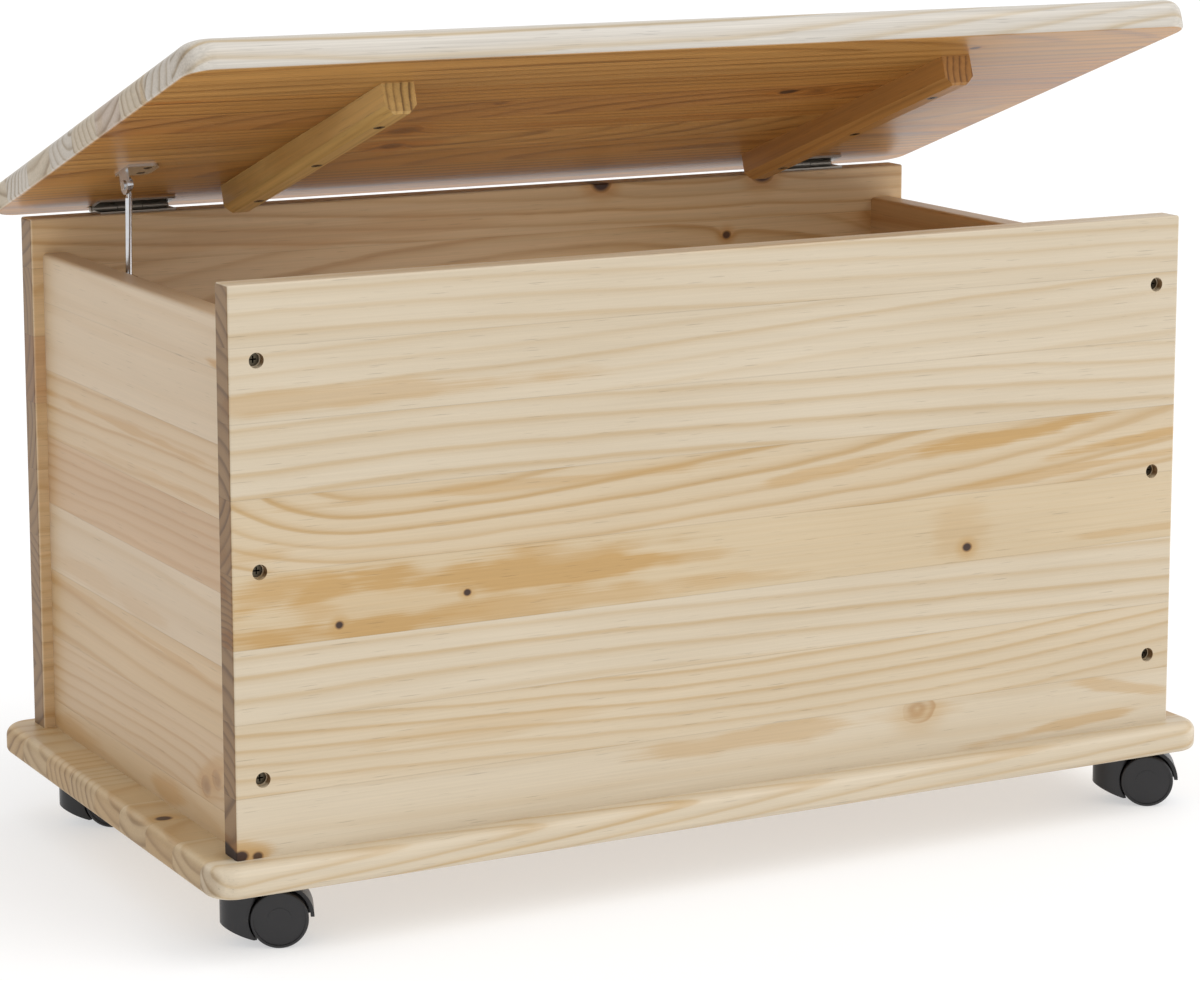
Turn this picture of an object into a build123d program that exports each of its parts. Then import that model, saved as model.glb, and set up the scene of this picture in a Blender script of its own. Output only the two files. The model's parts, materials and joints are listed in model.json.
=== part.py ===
from build123d import *
import math
import os

# Wooden toy box: a five-board case on twin-wheel castors, and a hinged lid with a sliding-rod stay.
# Millimetres. +X to the right, +Y to the back, +Z up. The origin is on the floor, in the middle of the
# box that the whole object fills with its lid held a little open, which is how the lid is drawn here.

os.makedirs("parts", exist_ok=True)

# ---------------------------------------------------------------- driving dimensions: boards
BOARD = 18.0                # thickness of the case boards
CASE_WIDTH = 633.0          # length of the front and back panels
CASE_DEPTH = 334.4          # front face of the front panel to rear face of the back panel
PANEL_HEIGHT = 321.5        # front and back panels
SIDE_HEIGHT = 300.0         # side panels stop short of the lid, which leaves a finger gap
SIDE_INSET = 7.5            # outer face of a side panel, in from the ends of the front panel
EDGE_ROUND = 1.5            # eased edges of the case panels
BASE_WIDTH = 671.0
BASE_DEPTH = 362.0
BASE_FRONT_OVERHANG = 15.0
BASE_CORNER = 17.0          # plan radius of the base board's corners
BASE_TOP_ROUND = 6.5
BASE_BOTTOM_ROUND = 4.5

# ---------------------------------------------------------------- driving dimensions: lid
LID_WIDTH = 663.0
LID_DEPTH = 360.0
LID_THICKNESS = 19.2
LID_FRONT_OVERHANG = 9.5
LID_CORNER = 17.0
LID_TOP_ROUND = 9.0
LID_BOTTOM_ROUND = 2.5
LID_OPEN_ANGLE = 19.0       # above level, as drawn
LID_TOP_STOP_ANGLE = 80.0   # above level, where the stay's end stop meets its guide
BATTEN_X = 187.5            # middle of each batten, either side of the lid's middle
BATTEN_WIDTH = 20.0
BATTEN_DEPTH = 18.0
BATTEN_START = 40.0         # rear end of a batten, from the hinge axis
BATTEN_LENGTH = 256.0
BATTEN_CHAMFER = 5.0

# ---------------------------------------------------------------- driving dimensions: hinges
HINGE_X = 244.5             # middle of each hinge, either side of the case's middle
HINGE_LENGTH = 50.0
HINGE_LEAF_REACH = 17.0     # from the pin's axis to the leaf's free edge
HINGE_LEAF = 1.2            # leaf thickness
HINGE_GAP = 3.0             # back panel's top to the lid's underside, with the lid level
HINGE_BEHIND = 2.6          # pin's axis behind the back panel's rear face
KNUCKLE_RADIUS = 2.3
KNUCKLE_GAP = 0.4           # between neighbouring knuckles
HINGE_PIN_RADIUS = 1.2
HINGE_SCREW_X = 15.0        # hinge screws, either side of the hinge's middle
HINGE_SCREW_REACH = 10.5    # hinge screws, from the pin's axis

# ---------------------------------------------------------------- driving dimensions: lid stay
STAY_X = -283.0             # plane that the stay's rod moves in
STAY_ARM = 106.0            # lid pivot, from the hinge axis along the lid
STAY_DROP = 8.0             # lid pivot, below the level of the hinge axis with the lid level
STAY_GUIDE_ANGLE = 20.0     # side pivot, below level as seen from the hinge axis
ROD_RADIUS = 2.0
ROD_EYE_RADIUS = 4.5
ROD_EYE_THICKNESS = 2.0
ROD_STOP_RADIUS = 4.5
ROD_STOP_LENGTH = 5.0
RIVET_RADIUS = 1.5
RIVET_HEAD_RADIUS = 2.8
RIVET_HEAD = 0.8
BRACKET_SHEET = 1.6
BRACKET_LENGTH = 25.0
BRACKET_WIDTH = 21.0
EAR_RADIUS = 6.0
GUIDE_LENGTH = 16.0         # along the rod
GUIDE_WIDTH = 12.0
GUIDE_THICKNESS = 10.2
GUIDE_PIN_RADIUS = 2.5
STAY_PLATE_SHEET = 1.5
STAY_PLATE_LENGTH = 38.0
STAY_PLATE_HEIGHT = 19.0

# ---------------------------------------------------------------- driving dimensions: castors
CASTOR_HEIGHT = 40.0
CASTOR_X = 300.0            # swivel axes, either side of the middle
CASTOR_FRONT_Y = 32.0       # front swivel axes, behind the case's front face
CASTOR_REAR_Y = 297.0
CASTOR_TRAIL = 20.0         # swivel axis to axle
WHEEL_RADIUS = 16.5
WHEEL_INNER = 3.0           # inner face of each wheel, from the castor's middle plane
WHEEL_OUTER = 14.8
WHEEL_EDGE_ROUND = 1.6
AXLE_RADIUS = 2.5
AXLE_HALF_LENGTH = 12.0
KINGPIN_RADIUS = 4.0
KINGPIN_FLANGE_RADIUS = 7.0
CASTOR_PLATE = 38.0         # side of the square mounting plate
CASTOR_PLATE_SHEET = 2.0
CASTOR_SCREW_SPACING = 28.0
BOSS_RADIUS = 13.5
HOOD_HALF_WIDTH = 10.0
HOOD_WALL = 2.2
HOOD_SKIRT_LOW = 4.5        # lowest edge of the hood, close to the floor beside the wheels
HOOD_SKIRT_FRONT = 12.5     # the hood's underside rises to this at its leading edge
CASTOR_TURNS = {"front_left": -22.0, "front_right": -32.0, "rear_left": -24.0, "rear_right": -28.0}

# ---------------------------------------------------------------- fits
RUNNING = 0.06              # radial clearance of a pin that turns or slides in a bore
SCREW_ROOM = 0.05           # radial room round a screw in its hole
AIR = 0.3                   # gap between faces that move past each other

# ---------------------------------------------------------------- screws: shank radius, length, head radius
PANEL_SCREW = {"shank": 2.0, "length": 40.0, "head": 3.7, "head_height": 2.2}
BASE_SCREW = {"shank": 2.0, "length": 40.0, "head": 3.8, "head_height": 0.4}
BATTEN_SCREW = {"shank": 1.75, "length": 30.0, "head": 3.4, "head_height": 0.4}
HINGE_SCREW = {"shank": 1.25, "length": 14.0, "head": 2.3, "head_height": 0.05}
STAY_SCREW = {"shank": 1.5, "length": 14.0, "head": 2.7, "head_height": 0.1}
CASTOR_SCREW = {"shank": 1.7, "length": 15.0, "head": 3.2, "head_height": 0.2}
PANEL_SCREW_RECESS = 5.0
PANEL_SCREW_RECESS_RADIUS = 4.4
PANEL_SCREW_HEIGHTS = (44.5, 162.0, 279.5)
BASE_SCREW_X = (-250.0, -85.0, 85.0, 250.0)
BASE_SCREW_SIDE_OFFSET = 70.0

# ---------------------------------------------------------------- places worked out from the above
BASE_TOP = CASTOR_HEIGHT + BOARD
PANEL_TOP = BASE_TOP + PANEL_HEIGHT
SIDE_TOP = BASE_TOP + SIDE_HEIGHT

open_rad = math.radians(LID_OPEN_ANGLE)
hinge_from_front = CASE_DEPTH + HINGE_BEHIND
lid_behind_hinge = LID_DEPTH - LID_FRONT_OVERHANG - hinge_from_front
lid_rear_reach = (hinge_from_front
                  + (lid_behind_hinge - LID_TOP_ROUND) * math.cos(open_rad)
                  + (HINGE_GAP / 2 + LID_THICKNESS - LID_TOP_ROUND) * math.sin(open_rad)
                  + LID_TOP_ROUND)
FRONT_Y = -(lid_rear_reach - BASE_FRONT_OVERHANG) / 2      # front face of the front panel
BACK_Y = FRONT_Y + CASE_DEPTH
HINGE_Y = BACK_Y + HINGE_BEHIND
HINGE_Z = PANEL_TOP + HINGE_GAP / 2
HINGE_LINE = Axis((0, HINGE_Y, HINGE_Z), (-1, 0, 0))       # a positive turn about it opens the lid
LID_UNDERSIDE = HINGE_Z + HINGE_GAP / 2
SIDE_X = CASE_WIDTH / 2 - SIDE_INSET - BOARD / 2           # middle plane of a side panel
SIDE_INNER_X = SIDE_X - BOARD / 2


# ---------------------------------------------------------------- helpers
def save(name, *solids):
    """Write one node: a single solid, or a group of like solids."""
    shape = solids[0] if len(solids) == 1 else Compound(children=list(solids))
    export_step(shape, f"parts/{name}.step")


def opened(shape):
    """Turn a shape of the level lid to the angle that the lid is drawn at."""
    return shape.rotate(HINGE_LINE, LID_OPEN_ANGLE)


def upright_box(x_range, y_range, z_range):
    """A box from its lowest and highest places along each axis."""
    size = [high - low for low, high in (x_range, y_range, z_range)]
    middle = [(high + low) / 2 for low, high in (x_range, y_range, z_range)]
    return Pos(*middle) * Box(*size)


def rod_along_x(radius, x_low, x_high, y, z):
    """A cylinder along X."""
    return Pos((x_low + x_high) / 2, y, z) * Rot(0, 90, 0) * Cylinder(radius, x_high - x_low)


def rounded_board(width, depth, thickness, corner, top_round, bottom_round):
    """A board with rounded plan corners and rounded edges, middle at the origin, underside at Z 0."""
    board = extrude(RectangleRounded(width, depth, corner), thickness)
    board = fillet(board.faces().sort_by(Axis.Z)[-1].edges(), top_round)
    return fillet(board.faces().sort_by(Axis.Z)[0].edges(), bottom_round)


def eased(board):
    """Ease every edge of a board except those round its underside."""
    bottom = board.faces().sort_by(Axis.Z)[0].edges()
    return fillet([edge for edge in board.edges() if edge not in bottom], EDGE_ROUND)


def screw_body(kind, room=0.0):
    """A countersunk screw's outline turned about Z: head's face at Z 0, point down."""
    shank = kind["shank"] + room
    head = kind["head"] + room
    flat = kind["head_height"]
    taper_end = -flat - (kind["head"] - kind["shank"])
    outline = Polyline((0, 0), (head, 0), (head, -flat), (shank, taper_end),
                       (shank, -kind["length"] + 2 * kind["shank"]), (0, -kind["length"] - room), close=True)
    return revolve(Plane.XZ * make_face(outline), Axis.Z)


def screw(kind):
    """A screw with a cross slot in its head."""
    arm = kind["head"] * 1.1
    slot_width = kind["head"] * 0.24
    slot_depth = kind["head_height"] + (kind["head"] - kind["shank"]) * 0.75
    slot = Pos(0, 0, -slot_depth / 2) * Box(arm, slot_width, slot_depth)
    return screw_body(kind) - slot - Rot(0, 0, 90) * slot


def screw_hole(kind):
    return screw_body(kind, SCREW_ROOM)


def at_all(places, shape):
    """Copies of a shape, one at each place."""
    return [place * shape for place in places]


# ---------------------------------------------------------------- where the screws go
DOWN_INTO_Y_FRONT = Rot(90, 0, 0)       # a screw that points to +Y
DOWN_INTO_Y_BACK = Rot(-90, 0, 0)       # a screw that points to -Y
UPWARD = Rot(180, 0, 0)                 # a screw that points to +Z

panel_screw_xz = [(side * SIDE_X, BASE_TOP + height) for side in (-1, 1) for height in PANEL_SCREW_HEIGHTS]
front_screw_places = [Pos(x, FRONT_Y + PANEL_SCREW_RECESS, z) * DOWN_INTO_Y_FRONT for x, z in panel_screw_xz]
back_screw_places = [Pos(x, BACK_Y - PANEL_SCREW_RECESS, z) * DOWN_INTO_Y_BACK for x, z in panel_screw_xz]

base_screw_xy = [(x, y) for y in (FRONT_Y + BOARD / 2, BACK_Y - BOARD / 2) for x in BASE_SCREW_X]
base_screw_xy += [(side * SIDE_X, FRONT_Y + CASE_DEPTH / 2 + offset)
                  for side in (-1, 1) for offset in (-BASE_SCREW_SIDE_OFFSET, BASE_SCREW_SIDE_OFFSET)]
base_screw_places = [Pos(x, y, CASTOR_HEIGHT) * UPWARD for x, y in base_screw_xy]

batten_screw_steps = (0.13, 0.5, 0.87)
batten_screw_places = [Pos(side * BATTEN_X, HINGE_Y - BATTEN_START - step * BATTEN_LENGTH,
                           LID_UNDERSIDE - BATTEN_DEPTH) * UPWARD
                       for side in (-1, 1) for step in batten_screw_steps]

hinge_screw_xy = [(side * HINGE_X + offset, HINGE_Y - HINGE_SCREW_REACH)
                  for side in (-1, 1) for offset in (-HINGE_SCREW_X, HINGE_SCREW_X)]
hinge_case_screw_places = [Pos(x, y, PANEL_TOP + HINGE_LEAF) for x, y in hinge_screw_xy]
hinge_lid_screw_places = [Pos(x, y, LID_UNDERSIDE - HINGE_LEAF) * UPWARD for x, y in hinge_screw_xy]

castor_xy = {
    "front_left": (-CASTOR_X, FRONT_Y + CASTOR_FRONT_Y),
    "front_right": (CASTOR_X, FRONT_Y + CASTOR_FRONT_Y),
    "rear_left": (-CASTOR_X, FRONT_Y + CASTOR_REAR_Y),
    "rear_right": (CASTOR_X, FRONT_Y + CASTOR_REAR_Y),
}
plate_screw_half = CASTOR_SCREW_SPACING / 2
plate_screw_xy = [(sx * plate_screw_half, sy * plate_screw_half) for sx in (-1, 1) for sy in (-1, 1)]
castor_screw_places = [Pos(x + dx, y + dy, CASTOR_HEIGHT - CASTOR_PLATE_SHEET) * UPWARD
                       for x, y in castor_xy.values() for dx, dy in plate_screw_xy]

# ---------------------------------------------------------------- stay geometry
# Both stay pivots lie on one circle about the hinge axis. The rod is a chord of it, so while the lid
# turns by an angle the rod turns by exactly half of that angle, and it stays in line with its guide.
stay_radius = math.hypot(STAY_ARM, STAY_DROP)
lid_pivot_low_angle = -math.degrees(math.atan2(STAY_DROP, STAY_ARM))
LID_PIVOT_Y = HINGE_Y - STAY_ARM
LID_PIVOT_Z = HINGE_Z - STAY_DROP
GUIDE_Y = HINGE_Y - stay_radius * math.cos(math.radians(STAY_GUIDE_ANGLE))
GUIDE_Z = HINGE_Z - stay_radius * math.sin(math.radians(STAY_GUIDE_ANGLE))
open_pivot_angle = math.radians(lid_pivot_low_angle + LID_OPEN_ANGLE)
ROD_TOP_Y = HINGE_Y - stay_radius * math.cos(open_pivot_angle)
ROD_TOP_Z = HINGE_Z + stay_radius * math.sin(open_pivot_angle)
ROD_LEAN = math.degrees(math.atan2(GUIDE_Y - ROD_TOP_Y, ROD_TOP_Z - GUIDE_Z))   # top towards the front
widest_chord = 2 * stay_radius * math.sin(
    math.radians(LID_TOP_STOP_ANGLE + lid_pivot_low_angle + STAY_GUIDE_ANGLE) / 2)
ROD_REACH = widest_chord + GUIDE_LENGTH / 2 + AIR + ROD_STOP_LENGTH

stay_plate_x = -SIDE_INNER_X + STAY_PLATE_SHEET            # inner face of the plate on the side panel
stay_side_screw_places = [Pos(stay_plate_x, GUIDE_Y + offset, GUIDE_Z) * Rot(0, 90, 0)
                          for offset in (-STAY_PLATE_LENGTH / 2 + 5.5, STAY_PLATE_LENGTH / 2 - 5.5)]
bracket_x = STAY_X - ROD_EYE_THICKNESS / 2 - AIR - BRACKET_SHEET     # outer face of the bracket's ear
bracket_screw_places = [Pos(bracket_x + 14.0, LID_PIVOT_Y + offset, LID_UNDERSIDE - BRACKET_SHEET) * UPWARD
                        for offset in (-BRACKET_LENGTH / 2 + 6.0, BRACKET_LENGTH / 2 - 6.0)]


# ---------------------------------------------------------------- case
def make_base():
    board = rounded_board(BASE_WIDTH, BASE_DEPTH, BOARD, BASE_CORNER, BASE_TOP_ROUND, BASE_BOTTOM_ROUND)
    middle_y = FRONT_Y - BASE_FRONT_OVERHANG + BASE_DEPTH / 2
    board = Pos(0, middle_y, CASTOR_HEIGHT) * board
    holes = at_all(base_screw_places, screw_hole(BASE_SCREW))
    return board - holes - at_all(castor_screw_places, screw_hole(CASTOR_SCREW))


def make_long_panel(y_low, screw_places, outer_y, extra_holes):
    """Front or back panel, with recessed holes for the screws into the side panels."""
    half = CASE_WIDTH / 2
    panel = eased(upright_box((-half, half), (y_low, y_low + BOARD), (BASE_TOP, PANEL_TOP)))
    recess = Rot(90, 0, 0) * Cylinder(PANEL_SCREW_RECESS_RADIUS, 2 * PANEL_SCREW_RECESS)
    recesses = [Pos(x, outer_y, z) * recess for x, z in panel_screw_xz]
    return panel - recesses - at_all(screw_places, screw_hole(PANEL_SCREW)) - extra_holes


def make_side_panel(side, extra_holes):
    panel = upright_box((side * SIDE_X - BOARD / 2, side * SIDE_X + BOARD / 2),
                        (FRONT_Y + BOARD, BACK_Y - BOARD), (BASE_TOP, SIDE_TOP))
    top_edges = panel.faces().sort_by(Axis.Z)[-1].edges().filter_by(Axis.Y)
    return fillet(top_edges, 2 * EDGE_ROUND) - panel_screw_holes - base_holes - extra_holes


base_holes = at_all(base_screw_places, screw_hole(BASE_SCREW))
panel_screw_holes = at_all(front_screw_places + back_screw_places, screw_hole(PANEL_SCREW))

save("base_board", make_base())
save("front_panel", make_long_panel(FRONT_Y, front_screw_places, FRONT_Y, base_holes))
hinge_case_holes = at_all(hinge_case_screw_places, screw_hole(HINGE_SCREW))
save("back_panel", make_long_panel(BACK_Y - BOARD, back_screw_places, BACK_Y, base_holes + hinge_case_holes))
save("left_side_panel", make_side_panel(-1, at_all(stay_side_screw_places, screw_hole(STAY_SCREW))))
save("right_side_panel", make_side_panel(1, []))
save("front_panel_screws", *at_all(front_screw_places, screw(PANEL_SCREW)))
save("back_panel_screws", *at_all(back_screw_places, screw(PANEL_SCREW)))
save("base_screws", *at_all(base_screw_places, screw(BASE_SCREW)))


# ---------------------------------------------------------------- lid
def make_lid():
    board = rounded_board(LID_WIDTH, LID_DEPTH, LID_THICKNESS, LID_CORNER, LID_TOP_ROUND, LID_BOTTOM_ROUND)
    board = Pos(0, FRONT_Y - LID_FRONT_OVERHANG + LID_DEPTH / 2, LID_UNDERSIDE) * board
    groove_half = HINGE_LENGTH / 2 + 2.0
    groove_radius = KNUCKLE_RADIUS + 2 * AIR
    grooves = [rod_along_x(groove_radius, x - groove_half, x + groove_half, HINGE_Y, HINGE_Z)
               for x in (-HINGE_X, HINGE_X)]
    holes = at_all(batten_screw_places, screw_hole(BATTEN_SCREW))
    holes += at_all(hinge_lid_screw_places, screw_hole(HINGE_SCREW))
    holes += at_all(bracket_screw_places, screw_hole(STAY_SCREW))
    return board - grooves - holes


def make_batten(side):
    front_y = HINGE_Y - BATTEN_START - BATTEN_LENGTH
    batten = upright_box((side * BATTEN_X - BATTEN_WIDTH / 2, side * BATTEN_X + BATTEN_WIDTH / 2),
                         (front_y, front_y + BATTEN_LENGTH), (LID_UNDERSIDE - BATTEN_DEPTH, LID_UNDERSIDE))
    lower_edges = batten.faces().sort_by(Axis.Z)[0].edges()
    batten = chamfer(lower_edges.filter_by(Axis.Y), BATTEN_CHAMFER)
    batten = chamfer(batten.faces().sort_by(Axis.Z)[0].edges().filter_by(Axis.X), EDGE_ROUND)
    return batten - at_all(batten_screw_places, screw_hole(BATTEN_SCREW))


save("lid_panel", opened(make_lid()))
save("left_batten", opened(make_batten(-1)))
save("right_batten", opened(make_batten(1)))
save("batten_screws", *[opened(place * screw(BATTEN_SCREW)) for place in batten_screw_places])


# ---------------------------------------------------------------- hinges
def knuckle_spans(middle_x):
    """The three knuckles' X ranges, from one end of a hinge to the other."""
    length = (HINGE_LENGTH - 2 * KNUCKLE_GAP) / 3
    starts = [middle_x - HINGE_LENGTH / 2 + index * (length + KNUCKLE_GAP) for index in range(3)]
    return [(start, start + length) for start in starts]


def make_leaf(middle_x, spans, z_low, bore, screw_holes):
    """A hinge leaf, flat on a board, with its knuckles on the pin's axis."""
    half = HINGE_LENGTH / 2
    clear_y = HINGE_Y - KNUCKLE_RADIUS - AIR
    z_range = (z_low, z_low + HINGE_LEAF)
    leaf = upright_box((middle_x - half, middle_x + half), (HINGE_Y - HINGE_LEAF_REACH, clear_y), z_range)
    for span in spans:
        leaf += upright_box(span, (clear_y, HINGE_Y), z_range)
        leaf += rod_along_x(KNUCKLE_RADIUS, *span, HINGE_Y, HINGE_Z)
    leaf -= rod_along_x(bore, middle_x - 2 * half, middle_x + 2 * half, HINGE_Y, HINGE_Z)
    return leaf - screw_holes


def make_hinge_pin(middle_x):
    half = HINGE_LENGTH / 2
    head = 0.8
    pin = rod_along_x(HINGE_PIN_RADIUS, middle_x - half, middle_x + half, HINGE_Y, HINGE_Z)
    for low in (middle_x - half - head, middle_x + half):
        pin += rod_along_x(HINGE_PIN_RADIUS * 1.5, low, low + head, HINGE_Y, HINGE_Z)
    return pin


hinge_lid_holes = at_all(hinge_lid_screw_places, screw_hole(HINGE_SCREW))
for name, x in (("left", -HINGE_X), ("right", HINGE_X)):
    spans = knuckle_spans(x)
    case_leaf = make_leaf(x, (spans[0], spans[2]), PANEL_TOP, HINGE_PIN_RADIUS, hinge_case_holes)
    lid_leaf = make_leaf(x, (spans[1],), LID_UNDERSIDE - HINGE_LEAF, HINGE_PIN_RADIUS + RUNNING,
                         hinge_lid_holes)
    save(f"{name}_hinge_case_leaf", case_leaf)
    save(f"{name}_hinge_lid_leaf", opened(lid_leaf))
    save(f"{name}_hinge_pin", make_hinge_pin(x))
save("hinge_case_screws", *at_all(hinge_case_screw_places, screw(HINGE_SCREW)))
save("hinge_lid_screws", *[opened(place * screw(HINGE_SCREW)) for place in hinge_lid_screw_places])


# ---------------------------------------------------------------- lid stay
def make_stay_bracket():
    """Bent sheet under the lid: a flat plate for the screws and an ear for the rivet."""
    plate = upright_box((bracket_x, bracket_x + BRACKET_WIDTH),
                        (LID_PIVOT_Y - BRACKET_LENGTH / 2, LID_PIVOT_Y + BRACKET_LENGTH / 2),
                        (LID_UNDERSIDE - BRACKET_SHEET, LID_UNDERSIDE))
    plate = fillet(plate.edges().filter_by(Axis.Z).sort_by(Axis.X)[-2:], 6.0)
    ear = rod_along_x(EAR_RADIUS, bracket_x, bracket_x + BRACKET_SHEET, LID_PIVOT_Y, LID_PIVOT_Z)
    ear += upright_box((bracket_x, bracket_x + BRACKET_SHEET),
                       (LID_PIVOT_Y - EAR_RADIUS, LID_PIVOT_Y + EAR_RADIUS), (LID_PIVOT_Z, LID_UNDERSIDE))
    rivet_hole = rod_along_x(RIVET_RADIUS, bracket_x - 5, bracket_x + 5, LID_PIVOT_Y, LID_PIVOT_Z)
    return plate + ear - rivet_hole - at_all(bracket_screw_places, screw_hole(STAY_SCREW))


def make_stay_rivet():
    """Rivet through the ear and the rod's eye, with a head each side."""
    inner_head = STAY_X + ROD_EYE_THICKNESS / 2 + AIR
    rivet = rod_along_x(RIVET_RADIUS, bracket_x, inner_head, LID_PIVOT_Y, LID_PIVOT_Z)
    for low in (bracket_x - RIVET_HEAD, inner_head):
        rivet += rod_along_x(RIVET_HEAD_RADIUS, low, low + RIVET_HEAD, LID_PIVOT_Y, LID_PIVOT_Z)
    return rivet


def leaning(shape, y, z):
    """Put a shape modelled upright about the origin at a stay pivot, leaning as the rod does."""
    return Pos(STAY_X, y, z) * Rot(ROD_LEAN, 0, 0) * shape


def make_stay_rod():
    """Round rod with a flattened eye, hanging from the lid pivot. Its end carries the stop."""
    eye = Rot(0, 90, 0) * Cylinder(ROD_EYE_RADIUS, ROD_EYE_THICKNESS)
    shank = Pos(0, 0, -ROD_REACH / 2) * Cylinder(ROD_RADIUS, ROD_REACH)
    flat_length = 2 * (EAR_RADIUS + 2.0)
    shank -= Box(10, 10, flat_length) - Box(ROD_EYE_THICKNESS, 10, flat_length)
    bore = Rot(0, 90, 0) * Cylinder(RIVET_RADIUS + RUNNING, 10)
    return leaning(eye + shank - bore, ROD_TOP_Y, ROD_TOP_Z)


def make_stay_stop():
    middle = -ROD_REACH + ROD_STOP_LENGTH / 2
    stop = Cylinder(ROD_STOP_RADIUS, ROD_STOP_LENGTH)
    stop = fillet(stop.edges().filter_by(GeomType.CIRCLE), 1.2)
    stop = Pos(0, 0, middle) * stop - Pos(0, 0, middle) * Cylinder(ROD_RADIUS, 2 * ROD_STOP_LENGTH)
    return leaning(stop, ROD_TOP_Y, ROD_TOP_Z)


def make_stay_plate():
    plate = upright_box((-SIDE_INNER_X, stay_plate_x),
                        (GUIDE_Y - STAY_PLATE_LENGTH / 2, GUIDE_Y + STAY_PLATE_LENGTH / 2),
                        (GUIDE_Z - STAY_PLATE_HEIGHT / 2, GUIDE_Z + STAY_PLATE_HEIGHT / 2))
    plate = fillet(plate.edges().filter_by(Axis.X), 5.0)
    plate -= rod_along_x(GUIDE_PIN_RADIUS, -SIDE_INNER_X - 5, stay_plate_x + 5, GUIDE_Y, GUIDE_Z)
    return plate - at_all(stay_side_screw_places, screw_hole(STAY_SCREW))


guide_outer_x = stay_plate_x + AIR - STAY_X                 # guide's faces, from the rod's plane
guide_inner_x = guide_outer_x + GUIDE_THICKNESS
guide_pin_end = -ROD_RADIUS - 1.2
brake_radius = 1.5


def make_stay_guide():
    """Swivelling block that the rod slides through, with a brake screw from its inner face."""
    guide = upright_box((guide_outer_x, guide_inner_x), (-GUIDE_WIDTH / 2, GUIDE_WIDTH / 2),
                        (-GUIDE_LENGTH / 2, GUIDE_LENGTH / 2))
    guide = fillet(guide.edges().filter_by(Axis.X), 3.0)
    guide -= Cylinder(ROD_RADIUS + RUNNING, 2 * GUIDE_LENGTH)
    guide -= rod_along_x(GUIDE_PIN_RADIUS + RUNNING, guide_outer_x - 1, guide_pin_end + AIR, 0, 0)
    guide -= rod_along_x(brake_radius, ROD_RADIUS, guide_inner_x + 1, 0, 0)
    return leaning(guide, GUIDE_Y, GUIDE_Z)


def make_brake_screw():
    shank = rod_along_x(brake_radius, ROD_RADIUS + AIR, guide_inner_x, 0, 0)
    head = rod_along_x(3.4, guide_inner_x, guide_inner_x + 2.2, 0, 0)
    head = fillet(head.edges().sort_by(Axis.X)[-1], 0.8)
    slot = upright_box((guide_inner_x + 1.2, guide_inner_x + 3), (-4, 4), (-0.5, 0.5))
    return leaning(shank + head - slot, GUIDE_Y, GUIDE_Z)


save("stay_lid_bracket", opened(make_stay_bracket()))
save("stay_bracket_screws", *[opened(place * screw(STAY_SCREW)) for place in bracket_screw_places])
save("stay_rivet", opened(make_stay_rivet()))
save("stay_rod", make_stay_rod())
save("stay_rod_stop", make_stay_stop())
save("stay_side_plate", make_stay_plate())
save("stay_side_screws", *at_all(stay_side_screw_places, screw(STAY_SCREW)))
save("stay_guide_pin",
     rod_along_x(GUIDE_PIN_RADIUS, -SIDE_INNER_X, STAY_X + guide_pin_end, GUIDE_Y, GUIDE_Z))
save("stay_guide_block", make_stay_guide())
save("stay_brake_screw", make_brake_screw())


# ---------------------------------------------------------------- castors
# A castor is modelled with its swivel axis on Z, its floor at Z 0 and its wheels trailing towards +X.
PLATE_LOW = CASTOR_HEIGHT - CASTOR_PLATE_SHEET
WHEEL_ROOM = WHEEL_RADIUS + 1.0
HOOD_TOP = WHEEL_RADIUS + WHEEL_ROOM + HOOD_WALL
KINGPIN_LOW = 26.0
AXLE_CENTRE = Pos(CASTOR_TRAIL, 0, WHEEL_RADIUS)


def upright_cylinder(radius, z_low, z_high):
    """A cylinder on the swivel axis."""
    return Pos(0, 0, (z_low + z_high) / 2) * Cylinder(radius, z_high - z_low)


def along_y(radius, y_low, y_high):
    """A cylinder along Y."""
    return Pos(0, (y_low + y_high) / 2, 0) * Rot(90, 0, 0) * Cylinder(radius, y_high - y_low)


def make_castor_plate():
    outline = RectangleRounded(CASTOR_PLATE, CASTOR_PLATE, 4.0)
    plate = Pos(0, 0, PLATE_LOW) * extrude(outline, CASTOR_PLATE_SHEET)
    plate -= Pos(0, 0, PLATE_LOW) * Cylinder(KINGPIN_RADIUS, 4 * CASTOR_PLATE_SHEET)
    return plate - [Pos(x, y, PLATE_LOW) * UPWARD * screw_hole(CASTOR_SCREW) for x, y in plate_screw_xy]


def make_kingpin():
    pin = upright_cylinder(KINGPIN_RADIUS, KINGPIN_LOW, CASTOR_HEIGHT)
    return pin + upright_cylinder(KINGPIN_FLANGE_RADIUS, HOOD_TOP + AIR, PLATE_LOW)


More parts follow.
